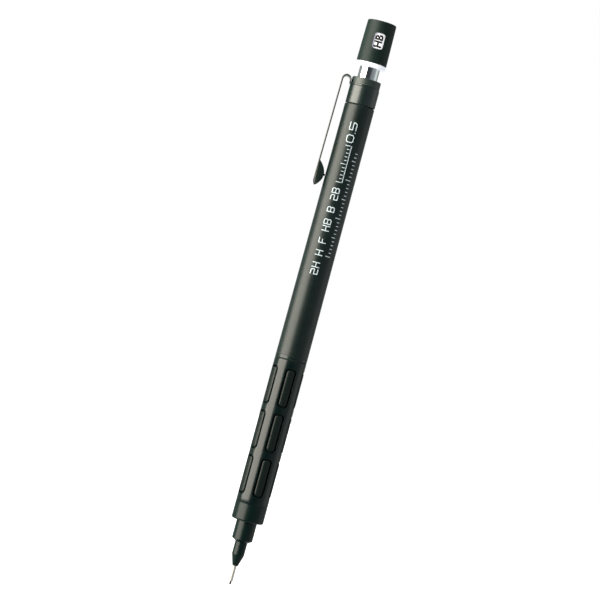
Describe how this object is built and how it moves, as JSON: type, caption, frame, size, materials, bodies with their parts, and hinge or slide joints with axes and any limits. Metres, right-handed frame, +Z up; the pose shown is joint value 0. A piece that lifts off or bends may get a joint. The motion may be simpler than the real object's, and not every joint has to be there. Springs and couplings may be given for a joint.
{
  "type": "mechanical pencil",
  "caption": "Drafting mechanical pencil with a fixed guide pipe, slotted grip with rubber pads, side clip, chrome push tube and a cap with a grade window.",
  "frame": {"origin": "on the pencil's axis, at the lower end of the guide pipe", "axes": "+Z up the pencil from guide pipe to cap, clip at -X, grade window and printed side facing -Y"},
  "size_m": [0.0108, 0.0084, 0.1483],
  "materials": {
    "steel_pipe": "drawn stainless steel",
    "nozzle_black": "satin black coat on turned metal",
    "retainer_rubber": "soft moulded rubber",
    "collar_black": "satin black anodised",
    "sleeve_resin": "moulded resin",
    "grip_rubber": "soft matt rubber pads",
    "grip_shell": "satin black anodised",
    "barrel_satin": "fine-grained satin lacquer, black-green",
    "bush_black": "satin black anodised",
    "clip_coated": "satin gunmetal coat on spring steel",
    "clutch_brass": "turned brass",
    "spring_steel": "drawn spring wire",
    "tube_resin": "moulded resin",
    "tube_chrome": "polished chrome plate",
    "ring_white": "smooth white resin with black grade marks",
    "cap_dark": "smooth satin lacquer, black-green",
    "eraser_white": "matt white eraser",
    "lead_graphite": "polymer-bonded graphite with a dull sheen"
  },
  "bodies": {
    "root": {"guide_pipe": "steel_pipe", "nozzle": "nozzle_black", "lead_retainer": "retainer_rubber", "front_collar": "nozzle_black", "inner_sleeve": "sleeve_resin", "rubber_grip": "grip_rubber", "grip_sleeve": "grip_shell", "barrel": "barrel_satin", "rear_collar": "collar_black", "tail_bush": "bush_black", "clip_root": "clip_coated", "clutch_housing": "clutch_brass", "return_spring": "spring_steel"},
    "clip": {"clip_arm": "clip_coated"},
    "knock": {"chuck_stem": "clutch_brass", "lead_tube": "tube_resin", "knock_tube": "tube_chrome", "spare_leads": "lead_graphite"},
    "clutch": {"clutch_ring": "clutch_brass"},
    "jaw_1": {"chuck_jaw_1": "clutch_brass"},
    "jaw_2": {"chuck_jaw_2": "clutch_brass"},
    "jaw_3": {"chuck_jaw_3": "clutch_brass"},
    "cap": {"cap": "cap_dark"},
    "grade": {"grade_ring": "ring_white"},
    "eraser": {"eraser": "eraser_white"},
    "lead": {"lead": "lead_graphite"}
  },
  "joints": [
    {"name": "knock_press", "type": "slide", "parent": "root", "child": "knock", "axis": [0, 0, -1], "range_m": [0, 0.003], "stiffness_N_per_m": 500, "springref_m": -0.003, "deforming": ["return_spring"]},
    {"name": "clutch_follow", "type": "slide", "parent": "root", "child": "clutch", "axis": [0, 0, -1], "range_m": [0, 0.00105]},
    {"name": "jaw_1_open", "type": "hinge", "parent": "knock", "child": "jaw_1", "pos_m": [0.00062, 0, 0.0246], "axis": [0, -1, 0], "range_deg": [0, 1.2]},
    {"name": "jaw_2_open", "type": "hinge", "parent": "knock", "child": "jaw_2", "pos_m": [-0.00031, 0.00053, 0.0246], "axis": [0.866, 0.5, 0], "range_deg": [0, 1.2]},
    {"name": "jaw_3_open", "type": "hinge", "parent": "knock", "child": "jaw_3", "pos_m": [-0.00031, -0.00053, 0.0246], "axis": [-0.866, 0.5, 0], "range_deg": [0, 1.2]},
    {"name": "cap_pull", "type": "slide", "parent": "knock", "child": "cap", "axis": [0, 0, 1], "range_m": [0, 0.03]},
    {"name": "grade_turn", "type": "hinge", "parent": "cap", "child": "grade", "pos_m": [0, 0, 0.141], "axis": [0, 0, 1], "continuous": true},
    {"name": "eraser_pull", "type": "slide", "parent": "knock", "child": "eraser", "axis": [0, 0, 1], "range_m": [0, 0.012]},
    {"name": "lead_feed", "type": "slide", "parent": "root", "child": "lead", "axis": [0, 0, -1], "range_m": [-0.00094, 0.01]},
    {"name": "clip_flex", "type": "hinge", "parent": "root", "child": "clip", "pos_m": [-0.00505, 0, 0.13215], "axis": [0, 1, 0], "range_deg": [0, 6], "stiffness_Nm_per_rad": 0.8}
  ],
  "couplings": [
    {"joint": "clutch_follow", "follows": "knock_press", "ratio": 0.35},
    {"joint": "jaw_1_open", "follows": "knock_press", "rad_per_m": 6.98},
    {"joint": "jaw_2_open", "follows": "knock_press", "rad_per_m": 6.98},
    {"joint": "jaw_3_open", "follows": "knock_press", "rad_per_m": 6.98},
    {"joint": "eraser_pull", "follows": "cap_pull", "ratio": 0.4}
  ]
}
